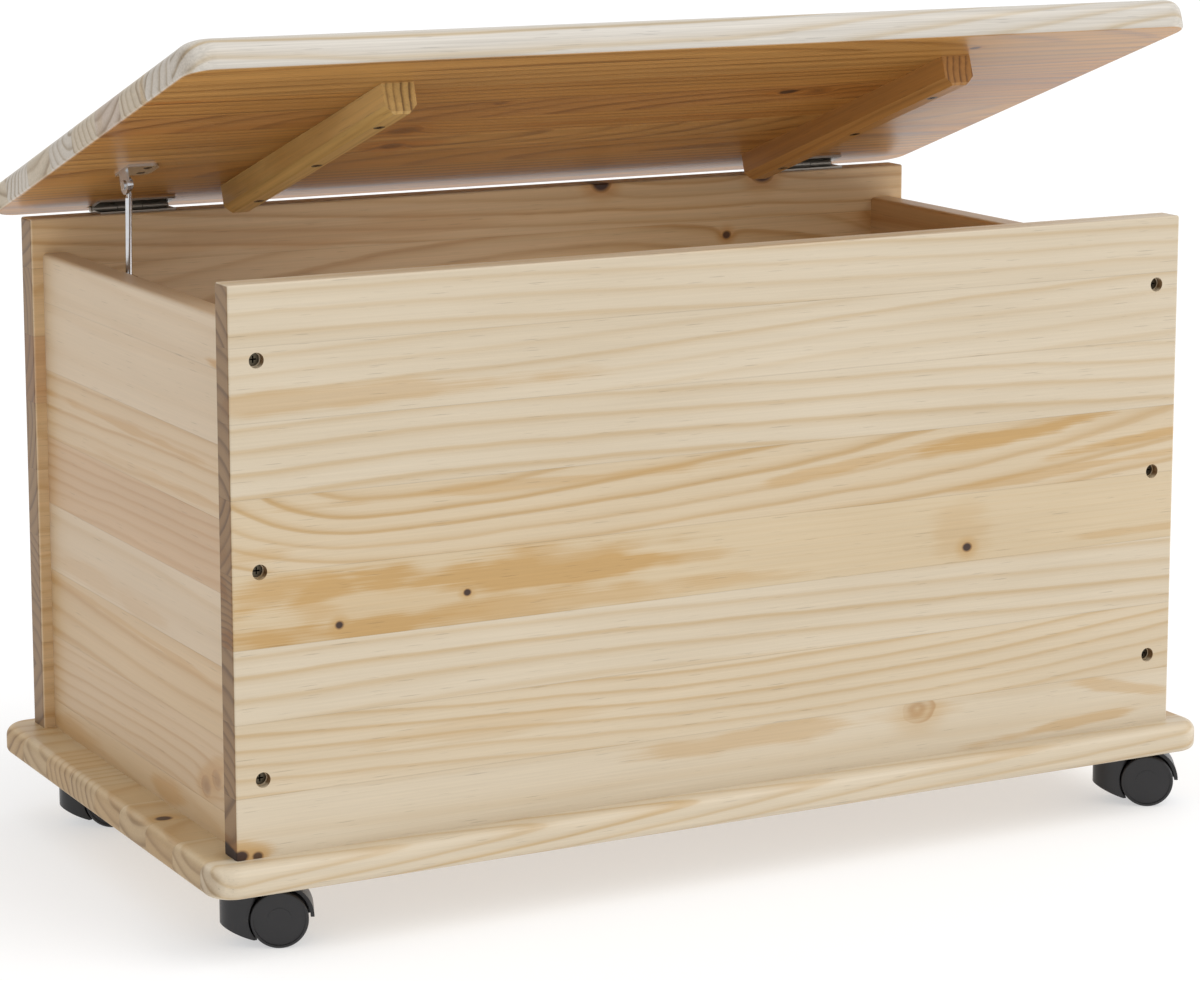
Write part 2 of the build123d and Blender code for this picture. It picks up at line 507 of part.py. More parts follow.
def make_hood():
    """Moulded hood: a boss on the kingpin, a web between the wheels and a fender over them."""
    boss = upright_cylinder(BOSS_RADIUS, HOOD_SKIRT_LOW, HOOD_TOP)
    boss = fillet(boss.edges().sort_by(Axis.Z)[-1], 1.0)
    fender = AXLE_CENTRE * along_y(WHEEL_ROOM + HOOD_WALL, -HOOD_HALF_WIDTH, HOOD_HALF_WIDTH)
    fender -= upright_box((-100, 100), (-100, 100), (-100, WHEEL_RADIUS))
    bridge = upright_box((0, CASTOR_TRAIL), (-HOOD_HALF_WIDTH, HOOD_HALF_WIDTH), (HOOD_SKIRT_LOW, HOOD_TOP))
    web_half = WHEEL_INNER - 0.5
    web = AXLE_CENTRE * along_y(WHEEL_RADIUS - 3.0, -web_half, web_half)
    body = boss + fender + bridge
    for y_low, y_high in ((web_half, 100), (-100, -web_half)):
        body -= AXLE_CENTRE * along_y(WHEEL_ROOM, y_low, y_high)
    body += web
    under = make_face(Polyline((-BOSS_RADIUS - 1, HOOD_SKIRT_FRONT + 0.4), (-BOSS_RADIUS, HOOD_SKIRT_FRONT),
                               (5.5, HOOD_SKIRT_LOW), (5.5, -20), (-BOSS_RADIUS - 1, -20), close=True))
    body -= extrude(Plane.XZ * under, 50, both=True)
    body -= Pos(0, 0, HOOD_TOP) * Cylinder(KINGPIN_RADIUS + RUNNING, 2 * (HOOD_TOP - KINGPIN_LOW + AIR))
    return body - AXLE_CENTRE * along_y(AXLE_RADIUS, -AXLE_HALF_LENGTH, AXLE_HALF_LENGTH)


def make_wheel(side):
    """One solid wheel with a blind bore on the axle. Side is -1 or +1 along the castor's Y."""
    y_low, y_high = sorted((side * WHEEL_INNER, side * WHEEL_OUTER))
    wheel = along_y(WHEEL_RADIUS, y_low, y_high)
    rims = wheel.edges().filter_by(GeomType.CIRCLE).sort_by(Axis.Y)
    outer_rim = rims[0] if side < 0 else rims[-1]
    wheel = fillet(outer_rim, WHEEL_EDGE_ROUND)
    bore_end = side * (AXLE_HALF_LENGTH + AIR)
    return AXLE_CENTRE * (wheel - along_y(AXLE_RADIUS + RUNNING, *sorted((0, bore_end))))


castor_pieces = {
    "plate": make_castor_plate(),
    "kingpin": make_kingpin(),
    "hood": make_hood(),
    "axle": AXLE_CENTRE * along_y(AXLE_RADIUS, -AXLE_HALF_LENGTH, AXLE_HALF_LENGTH),
    "outer_wheel": make_wheel(-1),
    "inner_wheel": make_wheel(1),
}
for corner, (x, y) in castor_xy.items():
    for piece, shape in castor_pieces.items():
        turn = 0.0 if piece in ("plate", "kingpin") else CASTOR_TURNS[corner]
        save(f"castor_{corner}_{piece}", Pos(x, y, 0) * Rot(0, 0, turn) * shape)
save("castor_screws", *at_all(castor_screw_places, screw(CASTOR_SCREW)))
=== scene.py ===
"""Wooden toy box on castors: its finishes, the castors' modelled wheels and a plain studio."""

import json
import math
import random
from collections import namedtuple

import bmesh
import bpy
from mathutils import Matrix, Vector


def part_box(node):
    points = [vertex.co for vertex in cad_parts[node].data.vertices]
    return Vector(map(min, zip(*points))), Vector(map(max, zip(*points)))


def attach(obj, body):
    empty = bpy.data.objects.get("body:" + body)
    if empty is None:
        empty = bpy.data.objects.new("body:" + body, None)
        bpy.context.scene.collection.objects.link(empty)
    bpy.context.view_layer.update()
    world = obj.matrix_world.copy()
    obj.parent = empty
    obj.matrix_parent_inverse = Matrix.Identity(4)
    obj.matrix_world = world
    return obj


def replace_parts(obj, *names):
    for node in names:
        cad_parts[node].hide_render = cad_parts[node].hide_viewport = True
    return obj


bl_info = {
    "name": "Toy Box",
    "version": (1, 0, 0),
    "blender": (4, 5, 0),
    "location": "3D View > Sidebar > Toy Box",
    "description": "Finishes a wooden toy box: pine boards, hinges, lid stay, screws and castors",
    "category": "Object",
}

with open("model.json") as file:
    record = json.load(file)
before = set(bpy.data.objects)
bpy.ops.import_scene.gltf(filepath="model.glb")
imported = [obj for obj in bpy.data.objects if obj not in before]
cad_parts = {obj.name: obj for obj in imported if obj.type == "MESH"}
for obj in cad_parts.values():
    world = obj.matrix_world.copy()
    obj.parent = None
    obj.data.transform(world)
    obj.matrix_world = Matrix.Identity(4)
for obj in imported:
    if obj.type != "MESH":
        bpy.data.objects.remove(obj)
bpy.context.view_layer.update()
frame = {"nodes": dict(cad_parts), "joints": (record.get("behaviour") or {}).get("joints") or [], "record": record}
JOINTS = {joint["name"]: joint for joint in frame["joints"]}
CORNERS = ("front_left", "front_right", "rear_left", "rear_right")

# The lid is drawn ajar. Its flat top face gives the angle, and its joint gives the hinge line.
lid_axis = next(mount for mount in frame["record"]["mounts"] if mount["name"] == "lid_top")["axis"]
LID_ANGLE = math.atan2(lid_axis[1], lid_axis[2])
HINGE = Vector(JOINTS["lid_hinge"]["pos_m"])
MM = 1000.0                     # millimetres in a metre; the grain is laid out in millimetres
BOARD = 18.0                    # thickness of the case boards, in millimetres
UNTURNED = (0.0, 0.0, 0.0)


# ---------------------------------------------------------------- materials: the means
class Wire:
    """An output of a node that arithmetic works on: each sum or product adds a Math node."""

    def __init__(self, finish, socket):
        self.finish = finish
        self.socket = socket

    def math(self, operation, *others, clamp=False):
        """This value and the others through one Math node."""
        terms = dict(enumerate((self,) + others))
        return self.finish.node("ShaderNodeMath", {"operation": operation, "use_clamp": clamp}, terms)

    def __add__(self, other):
        return self.math("ADD", other)

    def __radd__(self, other):
        return self.math("ADD", other)

    def __sub__(self, other):
        return self.math("SUBTRACT", other)

    def __rsub__(self, other):
        return self.finish.node("ShaderNodeMath", {"operation": "SUBTRACT"}, {0: other, 1: self})

    def __mul__(self, other):
        return self.math("MULTIPLY", other)

    def __rmul__(self, other):
        return self.math("MULTIPLY", other)

    def __truediv__(self, other):
        return self.math("DIVIDE", other)

    def step(self, low, high):
        """0 below low and 1 above high, with a smooth rise between them; low may be the larger."""
        return self.finish.node("ShaderNodeMapRange", {"interpolation_type": "SMOOTHSTEP"},
                                {"Value": self, "From Min": low, "From Max": high})


class Finish:
    """A new material and the nodes in it."""

    def __init__(self, name):
        self.material = bpy.data.materials.new(name)
        self.material.use_nodes = True
        self.tree = self.material.node_tree
        self.tree.nodes.clear()

    def node(self, kind, settings, sockets, output=0):
        """Add a node: first its settings or a ramp's stops, then the values or links of its sockets."""
        node = self.tree.nodes.new(kind)
        for name, value in settings.items():
            if name == "stops":
                node.color_ramp.elements.remove(node.color_ramp.elements[1])
                node.color_ramp.elements[0].position = value[0][0]
                for place, _ in value[1:]:
                    node.color_ramp.elements.new(place)
                for element, (_, colour) in zip(node.color_ramp.elements, value):
                    element.color = (*colour, 1.0)
            elif name == "between_stops":
                node.color_ramp.interpolation = value
            else:
                setattr(node, name, value)
        for name, value in sockets.items():
            if isinstance(value, Wire):
                self.tree.links.new(value.socket, node.inputs[name])
            else:
                node.inputs[name].default_value = value
        return Wire(self, node.outputs[output]) if len(node.outputs) else node

    def place(self, location=(0.0, 0.0, 0.0), rotation=(0.0, 0.0, 0.0)):
        """A point of the piece in millimetres, after a turn and then a move."""
        point = self.node("ShaderNodeTexCoord", {}, {}, "Object")
        return self.node("ShaderNodeMapping", {},
                         {"Vector": point, "Location": location, "Rotation": rotation,
                                                   "Scale": (MM, MM, MM)})

    def axes(self, vector):
        """The three parts of a vector."""
        parts = [self.node("ShaderNodeSeparateXYZ", {}, {"Vector": vector}, axis) for axis in range(3)]
        return parts

    def vector(self, x, y, z):
        return self.node("ShaderNodeCombineXYZ", {}, {"X": x, "Y": y, "Z": z})

    def noise(self, vector, detail=1.0, roughness=0.5, scale=1.0):
        """Smooth noise about 0, roughly from -0.5 to 0.5."""
        return self.node("ShaderNodeTexNoise", {}, {"Vector": vector, "Scale": scale, "Detail": detail,
                                                    "Roughness": roughness}, "Fac") - 0.5

    def mix(self, share, first, second, blend="MIX"):
        """Two colours mixed; at a share of 1 the second one is whole."""
        return self.node("ShaderNodeMix", {"data_type": "RGBA", "blend_type": blend},
                         {0: share, 6: first, 7: second}, 2)

    def bump(self, height, depth, strength=1.0):
        """A normal from a height that runs from 0 to 1, where 1 stands for depth in metres."""
        return self.node("ShaderNodeBump", {}, {"Height": height, "Distance": depth, "Strength": strength})

    def surface(self, **sockets):
        """The shader and the material output. Socket names are given with underscores for spaces."""
        named = {name.replace("_", " "): value for name, value in sockets.items()}
        shader = self.node("ShaderNodeBsdfPrincipled", {}, named)
        self.node("ShaderNodeOutputMaterial", {}, {"Surface": shader})
        return self.material


# ---------------------------------------------------------------- pine
# A board is glued up from staves. Each stave keeps its own growth rings, round a pith line that
# usually lies outside it. Millimetres: across and depth place the pith from the stave's middle and
# from the board's face; lean and bow tilt and curve it along the grain; ring is the yearly growth.
Stave = namedtuple("Stave",
                   "across depth ring lean_across lean_depth middle bow_across bow_depth line tint "
                            "bow_length", defaults=(150.0,))
Knot = namedtuple("Knot", "along across size dark")
Stain = namedtuple("Stain", "along across length height strength slant", defaults=(0.0,))
STAVE = 42.0
CREAM = (1.0, 1.0, 1.0)
HONEY = (0.96, 0.89, 0.76)
PINKISH = (0.90, 0.80, 0.74)
AMBER = (0.93, 0.83, 0.66)
IVORY = (0.98, 0.95, 0.90)
BROWNISH = (0.90, 0.78, 0.66)


def mixed_staves(seed, count):
    """Staves as they come from the pile."""
    pick = random.Random(seed)
    return [Stave(across=pick.choice((-1, 1)) * pick.uniform(4, 75), depth=pick.uniform(18, 60),
                  ring=pick.uniform(6, 12), lean_across=pick.uniform(-0.03, 0.03),
                  lean_depth=pick.uniform(-0.06, 0.06), middle=pick.uniform(-150, 150),
                  bow_across=pick.uniform(-0.03, 0.03), bow_depth=pick.uniform(-0.05, 0.22),
                  line=pick.uniform(0.45, 0.95), tint=pick.choice((CREAM, CREAM, HONEY, PINKISH)))
            for _ in range(count)]


def pine(name, look, location, rotation, order, staves, first_joint, knots=(), stains=(), seed=0.0,
         inner_face=None, painted_shade=None, end_share=1.0, tone=CREAM, sheen=0.12, streak=0.20):
    """Glued pine. order names the placed axes that run along the grain, across the staves and into
    the board; first_joint is how far the lowest stave's joint lies below the board's edge.
    inner_face is the depth up to which the board takes a painted shade, a darker, warmer tint that stands for the
    dim light inside the box, end_share how much its end grain darkens, tone a tint of the whole board (a painted
    shade on the side panels), sheen the gloss of its clear coat and streak how strongly its fibres show, and on
    its inner face its bands and rings too."""
    finish = Finish(name)
    placed = finish.axes(finish.place(location, rotation))
    along, across, inward = [placed["XYZ".index(letter)] for letter in order]

    # Which stave, and where in it.
    number = ((across + first_joint) / STAVE).math("FLOOR")
    middle = number * STAVE + (STAVE / 2 - first_joint)
    share = (number + 0.5) / len(staves)

    def per_stave(low, high, *fields):
        """Three of the staves' numbers, each looked up by the stave's place in the board."""
        stops = [(index / len(staves), [(getattr(stave, field) - low) / (high - low) for field in fields])
                 for index, stave in enumerate(staves)]
        ramp = finish.node("ShaderNodeValToRGB", {"stops": stops, "between_stops": "CONSTANT"},
                           {"Fac": share})
        channels = [finish.node("ShaderNodeSeparateColor", {}, {"Color": ramp}, part) for part in range(3)]
        return [channel * (high - low) + low for channel in channels]

    pith_across, pith_depth, along_middle = per_stave(-400.0, 400.0, "across", "depth", "middle")
    lean_across, lean_depth, bow_across = per_stave(-0.6, 0.6, "lean_across", "lean_depth", "bow_across")
    bow_depth, _, _ = per_stave(-0.6, 0.6, "bow_depth", "bow_depth", "bow_depth")
    ring, line, bow_length = per_stave(0.0, 400.0, "ring", "line", "bow_length")
    tint_stops = [(index / len(staves), stave.tint) for index, stave in enumerate(staves)]
    tint = finish.node("ShaderNodeValToRGB", {"stops": tint_stops, "between_stops": "CONSTANT"},
                       {"Fac": share})

    # Distance from the pith line, with the slow wander and small ripples of a real trunk.
    own = number * 17.3 + seed
    wander = finish.noise(finish.vector(along * 0.0035, across * 0.016 + own, inward * 0.016))
    ripple = finish.noise(finish.vector(along * 0.016, across * 0.05 + own, inward * 0.05), detail=2.0)
    past = along - along_middle
    bow = (past * past + bow_length * bow_length).math("SQRT") - bow_length
    off_across = across - middle - pith_across - lean_across * past - bow_across * bow
    off_depth = inward - pith_depth - lean_depth * past - bow_depth * bow
    radius = (off_across * off_across + off_depth * off_depth).math("SQRT") + wander * 9.0 + ripple * 2.2

    stave_masks = {}

    def in_own_stave(place):
        """1 on the stave that this place across the board is on, and 0 on the others."""
        own_middle = math.floor((place + first_joint) / STAVE) * STAVE + STAVE / 2 - first_joint
        if own_middle not in stave_masks:
            stave_masks[own_middle] = (middle - own_middle).math("ABSOLUTE").math("LESS_THAN", 1.0)
        return stave_masks[own_middle]

    # Knots push the rings aside, and are dark in the middle.
    core = 0.0
    pitch_black = 0.0
    halo = 0.0
    for knot in knots:
        side = along - knot.along + inward * 0.12
        over = across - knot.across - inward * 0.08
        reach = (side * side * 0.72 + over * over).math("SQRT") + ripple * (knot.size * 1.1)
        mine = in_own_stave(knot.across)
        push = (reach * reach / (knot.size * knot.size) + 1.0).math("POWER", -1.0)
        radius = radius + push * mine * (knot.size * 1.4)
        turns = (reach * (7.0 / knot.size) + side * (1.2 / knot.size)).math("SINE") * 0.5 + 0.5
        core = core + reach.step(knot.size * 1.05,
                                 knot.size * 0.9) * mine * (turns * 0.45 + 0.20 + 0.35 * knot.dark)
        pitch_black = pitch_black + reach.step(knot.size * 0.98, knot.size * 0.55) * mine * knot.dark
        halo = halo + reach.step(knot.size * 2.6, knot.size * 0.9) * mine * (0.30 + 0.35 * knot.dark)

    # Latewood: a slow darkening through the year and then a quick return to pale.
    years = radius / ring + own
    year = years.math("FRACT")
    profile = [(0.0, (0.15,) * 3), (0.12, (0.0,) * 3), (0.45, (0.04,) * 3), (0.68, (0.38,) * 3),
               (0.84, (1.0,) * 3), (0.94, (0.75,) * 3), (1.0, (0.15,) * 3)]
    late = finish.node("ShaderNodeValToRGB", {"stops": profile}, {"Fac": year})
    late = finish.node("ShaderNodeSeparateColor", {}, {"Color": late}, "Red")
    luck = finish.node("ShaderNodeTexWhiteNoise", {"noise_dimensions": "1D"}, {"W": years.math("FLOOR")},
                       "Value")
    late = late * (luck * 0.55 + 0.45)

    # Fibres, resin dashes, soft clouds of tone and the glue lines.
    fibre = finish.noise(finish.vector(along * 0.010, across * 0.9 + own, inward * 0.9), detail=3.0,
                         roughness=0.6)
    dashes = finish.noise(finish.vector(along * 0.05, across * 1.3 + own, inward * 1.3), detail=0.0)
    dashes = dashes.step(0.24, 0.33)
    cloud = finish.noise(finish.vector(along * 0.004, across * 0.03 + own, inward * 0.03), detail=2.0)
    in_stave = across - middle
    glue = in_stave.math("ABSOLUTE").step(STAVE / 2 - 0.45, STAVE / 2 - 0.05)

    warm = 0.0
    for stain in stains:
        side = (along - stain.along) / stain.length
        over = (across - stain.across - (along - stain.along) * stain.slant) / stain.height
        reach = (side * side + over * over).math("SQRT") + ripple * 2.1 + wander * 1.4 + fibre * 0.8
        warm = warm + reach.step(1.18, 0.50) * in_own_stave(stain.across) * stain.strength

    normal = finish.node("ShaderNodeTexCoord", {}, {}, "Normal")
    turned = finish.node("ShaderNodeMapping", {"vector_type": "NORMAL"},
                         {"Vector": normal, "Rotation": rotation})
    facing = finish.axes(turned)["XYZ".index(order[0])].math("ABSOLUTE")
    end_grain = facing.step(0.55, 0.95)
    late = late * (line + (1.0 - line) * end_grain)

    early_colour = (*look.early_colour, 1.0)
    late_colour = (*look.late_colour, 1.0)
    colour = finish.mix(late, early_colour, late_colour)
    colour = finish.mix(1.0, colour, tint, "MULTIPLY")
    if stains:
        colour = finish.mix(warm.math("MINIMUM", 1.0), colour, (*look.resin_colour, 1.0))
    if knots:
        colour = finish.mix(halo.math("MINIMUM", 0.8), colour, (*look.resin_colour, 1.0))
        colour = finish.mix(core.math("MINIMUM", 1.0), colour, (*look.halo_colour, 1.0))
        colour = finish.mix(pitch_black.math("MINIMUM", 1.0), colour, (*look.knot_colour, 1.0))
    colour = finish.mix(end_grain * end_share, colour, (*look.end_colour, 1.0), "MULTIPLY")
    colour = finish.mix(1.0, colour, (*tone, 1.0), "MULTIPLY")
    light = 1.0 + fibre * streak + cloud * 0.18 - dashes * 0.20 - glue * 0.12 - end_grain * late * 0.42
    # Painted shade: the inner face takes a darker, warmer tint for the dim light there; its bands and stronger
    # streaks are grain.
    if inner_face is not None:
        inner_shade_mask = inward.step(inner_face + 0.7, inner_face)
        colour = finish.mix(inner_shade_mask, colour, (*painted_shade, 1.0), "MULTIPLY")
        bands = finish.noise(finish.vector(along * 0.003, across * 0.24 + own, inward * 0.24), detail=2.0)
        light = light + inner_shade_mask * (bands * streak - late * ((streak - 0.2) * 0.9))
    light = finish.node("ShaderNodeCombineColor", {}, {"Red": light, "Green": light * (1.0 + cloud * 0.05),
                                                       "Blue": light * (1.0 + cloud * 0.14)})
    colour = finish.mix(1.0, colour, light, "MULTIPLY")

    height = late * 0.5 + fibre * 0.6 - dashes * 0.4 - glue * 0.6
    rough = 0.46 + late * -0.08 + end_grain * 0.2 + fibre * 0.1
    return finish.surface(Base_Color=colour, Roughness=rough, Normal=finish.bump(height, 0.00016, 0.7),
                          Coat_Weight=sheen, Coat_Roughness=0.30, Specular_IOR_Level=0.42)


# ---------------------------------------------------------------- other finishes
def black_plastic(name, look, grain=0.55):
    """Moulded plastic: nearly black, with a fine spark-eroded grain and faint flow marks."""
    finish = Finish(name)
    point = finish.place()
    pits = finish.noise(point, detail=2.0, scale=grain * 4)
    flow = finish.noise(point, detail=1.0, scale=0.06)
    shade = 1.0 + flow * 0.5 + pits * 0.25
    colour = finish.mix(1.0, (*look.plastic_colour, 1.0),
                        finish.node("ShaderNodeCombineColor", {},
                                    {"Red": shade, "Green": shade, "Blue": shade}),
                        "MULTIPLY")
    return finish.surface(Base_Color=colour, Roughness=0.36 + pits * 0.18 + flow * 0.12,
                          Normal=finish.bump(pits, 0.00006, 0.6), Specular_IOR_Level=0.5)


def metal(name, colour, roughness, brushed=0.0, tarnish=0.3, grain=(0.2, 0.2, 0.2)):
    """Plated or painted steel with fine wear: grain is the pattern's pitch along each axis."""
    finish = Finish(name)
    point = finish.axes(finish.place())
    streak = finish.noise(finish.vector(*[part * pitch for part, pitch in zip(point, grain)]), detail=3.0)
    blotch = finish.noise(finish.vector(*[part * 0.25 for part in point]), detail=2.0)
    shade = 1.0 + streak * brushed + blotch * tarnish
    tone = finish.node("ShaderNodeCombineColor", {},
                       {"Red": shade, "Green": shade, "Blue": shade * (1.0 - blotch * 0.1)})
    base = finish.mix(1.0, (*colour, 1.0), tone, "MULTIPLY")
    return finish.surface(Base_Color=base, Metallic=1.0, Roughness=roughness + streak * 0.15 + blotch * 0.2,
                          Normal=finish.bump(streak, 0.00002, 0.5))


# ---------------------------------------------------------------- modelling: the means
def give(node, material):
    """Put a material on every slot of a CAD node's object."""
    slots = frame["nodes"][node].material_slots
    for entry in slots:
        entry.material = material


def edit_mode():
    bpy.ops.object.mode_set(mode="EDIT")
    bpy.ops.mesh.select_mode(type="FACE")
    bpy.ops.mesh.select_all(action="DESELECT")


def object_mode():
    bpy.ops.object.mode_set(mode="OBJECT")


def add(primitive, name, **settings):
    """Add a primitive of its own, with nothing else selected, and go into edit mode."""
    bpy.ops.object.select_all(action="DESELECT")
    primitive(**settings)
    piece = bpy.context.object
    piece.name = name
    piece.data.name = name
    edit_mode()
    return piece


def pick_faces(piece, wanted):
    """Select the faces for whose normal wanted(normal) is true, in the piece's own frame."""
    mesh = bmesh.from_edit_mesh(piece.data)
    for face in mesh.faces:
        face.select_set(bool(wanted(face.normal)))
    mesh.select_flush(False)
    bmesh.update_edit_mesh(piece.data)
    if not any(face.select for face in mesh.faces):
        raise RuntimeError(f"{piece.name}: no face was found to work on")


def pick_edges(piece, wanted):
    """Select the edges for which wanted(first end, second end) is true, in the piece's own frame."""
    bpy.ops.mesh.select_mode(type="EDGE")
    bpy.ops.mesh.select_all(action="DESELECT")
    mesh = bmesh.from_edit_mesh(piece.data)
    for edge in mesh.edges:
        edge.select_set(bool(wanted(*(vertex.co for vertex in edge.verts))))
    bmesh.update_edit_mesh(piece.data)
    if not any(edge.select for edge in mesh.edges):
        raise RuntimeError(f"{piece.name}: no edge was found to work on")


def extrude(x=0.0, y=0.0, z=0.0):
    bpy.ops.mesh.extrude_region_move(TRANSFORM_OT_translate={"value": (x, y, z), "orient_type": "GLOBAL"})


def finished(piece, material, smooth=30.0):
    """Leave edit mode, put the piece's place into its mesh, and give it its material."""
    object_mode()
    bpy.ops.object.transform_apply(location=True, rotation=True, scale=True)
    bpy.ops.object.shade_smooth_by_angle(angle=math.radians(smooth))
    piece.data.materials.clear()
    piece.data.materials.append(material)
    return piece


def copy_to(piece, name, matrix):
    """A copy with its own mesh, moved by a matrix that goes into the mesh."""
    bpy.ops.object.select_all(action="DESELECT")
    bpy.context.view_layer.objects.active = piece
    piece.select_set(True)
    bpy.ops.object.duplicate(linked=False)
    copy = bpy.context.object
    copy.name = name
    copy.data.name = name
    copy.matrix_world = matrix
    bpy.ops.object.transform_apply(location=True, rotation=True, scale=True)
    return copy


def discard(piece):
    bpy.data.objects.remove(piece, do_unlink=True)


# ---------------------------------------------------------------- what a user may change
class ToyBoxLook(bpy.types.PropertyGroup):
    """Colours and light of the toy box."""

    early_colour: bpy.props.FloatVectorProperty(
        name="Earlywood", description="Pale wood between the rings", subtype="COLOR", size=3,
        default=(0.600, 0.508, 0.375), min=0.0, max=1.0)
    # Painted shade: a darker, warmer tint on the side panels, for the less light that falls on them than on the
    # front.
    side_shade: bpy.props.FloatVectorProperty(
        name="Side shade", description="Painted shade of the side panels beside the front panel", subtype="COLOR",
        size=3,
        default=(0.89, 0.805, 0.725), min=0.0, max=1.0)
    late_colour: bpy.props.FloatVectorProperty(
        name="Latewood", description="Dark edge of each ring", subtype="COLOR", size=3,
        default=(0.475, 0.325, 0.155), min=0.0, max=1.0)
    resin_colour: bpy.props.FloatVectorProperty(
        name="Resin", description="Amber wood near knots", subtype="COLOR", size=3,
        default=(0.49, 0.305, 0.118), min=0.0, max=1.0)
    halo_colour: bpy.props.FloatVectorProperty(
        name="Knot edge", description="Wood round a knot", subtype="COLOR", size=3,
        default=(0.40, 0.225, 0.085), min=0.0, max=1.0)
    knot_colour: bpy.props.FloatVectorProperty(
        name="Knot", description="Middle of a knot", subtype="COLOR", size=3,
        default=(0.040, 0.016, 0.008), min=0.0, max=1.0)
    # Painted shade: a deep amber tint multiplied into the lid's underside, for the dim warm light under the open
    # lid.
    lid_underside_shade: bpy.props.FloatVectorProperty(
        name="Lid underside shade", description="Painted shade on the lid's underside", subtype="COLOR",
        size=3, default=(0.854, 0.464, 0.136), min=0.0, max=1.0)
    # Painted shade: a warm tint multiplied into the inner faces of the back and right side, for the dim light
    # inside the box.
    inside_shade: bpy.props.FloatVectorProperty(
        name="Inside shade", description="Painted shade on the inside of the back and right",
        subtype="COLOR", size=3, default=(1.0, 0.82, 0.60), min=0.0, max=1.0)
    end_colour: bpy.props.FloatVectorProperty(
        name="End grain", description="How end grain darkens the wood", subtype="COLOR", size=3,
        default=(0.40, 0.285, 0.180), min=0.0, max=1.0)
    plastic_colour: bpy.props.FloatVectorProperty(
        name="Castor plastic", description="Colour of the castors", subtype="COLOR", size=3,
        default=(0.0112, 0.0106, 0.0122), min=0.0, max=1.0)
    key_strength: bpy.props.FloatProperty(
        name="Key light", description="Strength of the main light", default=1.0, min=0.0)
    side_strength: bpy.props.FloatProperty(
        name="Side light", description="Power of the low light on the right", default=1.1, min=0.0,
        unit="POWER")
    floor_glow: bpy.props.FloatProperty(
        name="Floor glow", description="How much light comes up through the white floor", default=0.50,
        min=0.0)
    inner_strength: bpy.props.FloatProperty(
        name="Inner light", description="Power of the soft light inside the box", default=0.22, min=0.0,
        unit="POWER")
    sky_strength: bpy.props.FloatProperty(
        name="Fill light", description="Strength of the even light from all round", default=0.88, min=0.0)


